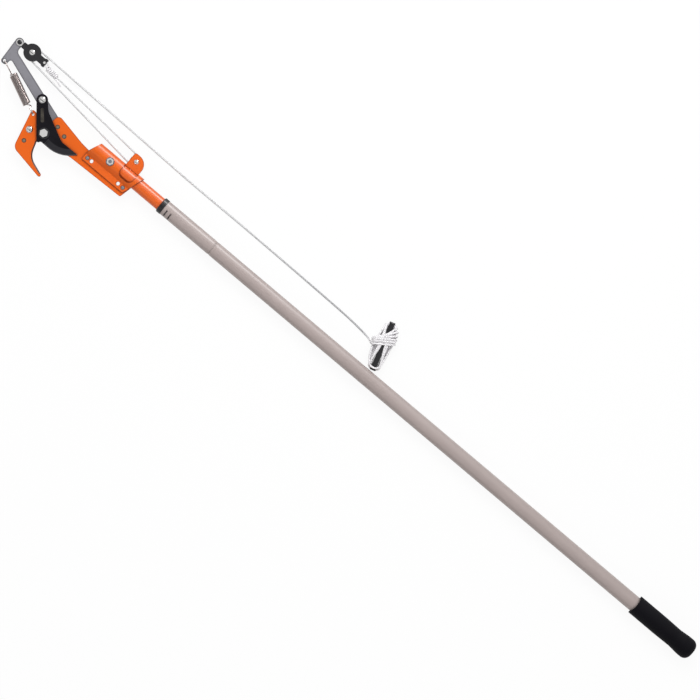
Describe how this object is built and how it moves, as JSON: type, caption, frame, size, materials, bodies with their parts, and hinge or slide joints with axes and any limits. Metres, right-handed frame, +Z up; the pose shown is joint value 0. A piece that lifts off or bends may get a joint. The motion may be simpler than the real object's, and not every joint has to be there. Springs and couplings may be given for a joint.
{
  "type": "tree pruner pole",
  "caption": "Telescopic pole pruner: bypass hook and blade worked by a rope over two pulleys, with return spring and cord winder.",
  "frame": {"origin": "centre of the flat butt of the grip, on the pole axis", "axes": "+X along the pole to the pruner head, +Y to the hook side, +Z up through the flat of the head"},
  "size_m": [1.5971, 0.2066, 0.0379],
  "materials": {
    "grey_enamel": "satin",
    "orange_enamel": "gloss",
    "black_rubber": "matte",
    "black_plastic": "satin",
    "white_plastic": "matte",
    "black_coated_steel": "satin",
    "grey_steel": "satin",
    "zinc_steel": "satin",
    "dark_steel": "satin",
    "white_rope": "matte"
  },
  "bodies": {
    "pole": {"outer_pole": "grey_enamel", "guide_collar": "black_plastic", "rubber_grip": "black_rubber"},
    "lock": {"lock_ring": "white_plastic"},
    "head": {"inner_pole": "orange_enamel", "lock_core": "white_plastic", "lock_pin": "zinc_steel", "socket_bracket": "orange_enamel", "bracket_bolt": "zinc_steel", "bracket_nut": "zinc_steel", "bracket_washers": "zinc_steel", "bracket_rivets": "grey_steel", "hook_plate_front": "orange_enamel", "hook_plate_back": "orange_enamel", "hook_rivets": "grey_steel", "hook_stud": "zinc_steel", "pivot_bolt": "zinc_steel", "pivot_washers": "dark_steel", "pivot_nut": "zinc_steel", "sheave_axle": "zinc_steel", "lower_wrap": "white_rope", "becket_fall": "white_rope", "return_fall": "white_rope", "pull_rope": "white_rope"},
    "lower_pulley": {"lower_sheave": "black_plastic"},
    "lever": {"blade": "black_coated_steel", "lever_arm": "grey_steel", "tang_screw": "zinc_steel", "tang_spacer": "grey_steel", "tang_nut": "zinc_steel", "link_rivet": "zinc_steel"},
    "spring": {"return_spring": "zinc_steel"},
    "spring_end": {"spring_hook": "zinc_steel"},
    "block": {"block_cheek_front": "black_plastic", "block_cheek_back": "black_plastic", "block_eye": "zinc_steel", "neck_pin": "zinc_steel", "block_axle": "zinc_steel", "becket_pin": "zinc_steel", "becket_knot": "white_rope", "upper_wrap": "white_rope"},
    "upper_pulley": {"upper_sheave": "black_plastic"},
    "handle": {"cord_winder": "black_plastic", "rope_hank": "white_rope"}
  },
  "joints": [
    {"name": "pole_slide", "type": "slide", "parent": "pole", "child": "lock", "axis": [1, 0, 0], "range_m": [0, 0.85]},
    {"name": "lock_twist", "type": "hinge", "parent": "lock", "child": "head", "pos_m": [0, 0, 0], "axis": [1, 0, 0], "range_deg": [0, 90]},
    {"name": "blade_swing", "type": "hinge", "parent": "head", "child": "lever", "pos_m": [1.453, 0.037, 0], "axis": [0, 0, 1], "range_deg": [-70, 0], "stiffness_Nm_per_rad": 3, "springref_deg": 20.05, "deforming": ["return_spring", "spring_hook", "becket_fall", "return_fall", "pull_rope"]},
    {"name": "block_swing", "type": "hinge", "parent": "lever", "child": "block", "pos_m": [1.589, -0.0575, 0], "axis": [0, 0, 1], "range_deg": [-1, 40]},
    {"name": "spring_swing", "type": "hinge", "parent": "head", "child": "spring", "pos_m": [1.489, 0.024, 0], "axis": [0, 0, 1], "range_deg": [-90, 1]},
    {"name": "spring_stretch", "type": "slide", "parent": "spring", "child": "spring_end", "axis": [0.9285, -0.3714, 0], "range_m": [-0.001, 0.035]},
    {"name": "handle_pull", "type": "slide", "parent": "head", "child": "handle", "axis": [-1, 0, 0], "range_m": [-0.002, 0.48]},
    {"name": "lower_spin", "type": "hinge", "parent": "head", "child": "lower_pulley", "pos_m": [1.2975, -0.0285, 0], "axis": [0, 0, 1], "continuous": true},
    {"name": "upper_spin", "type": "hinge", "parent": "block", "child": "upper_pulley", "pos_m": [1.5605, -0.058, 0], "axis": [0, 0, 1], "continuous": true}
  ],
  "couplings": [
    {"joint": "block_swing", "follows": "blade_swing", "ratio": -0.5113},
    {"joint": "spring_swing", "follows": "blade_swing", "ratio": 1.2095},
    {"joint": "spring_stretch", "follows": "blade_swing", "m_per_rad": -0.0253},
    {"joint": "handle_pull", "follows": "blade_swing", "m_per_rad": -0.38009}
  ]
}
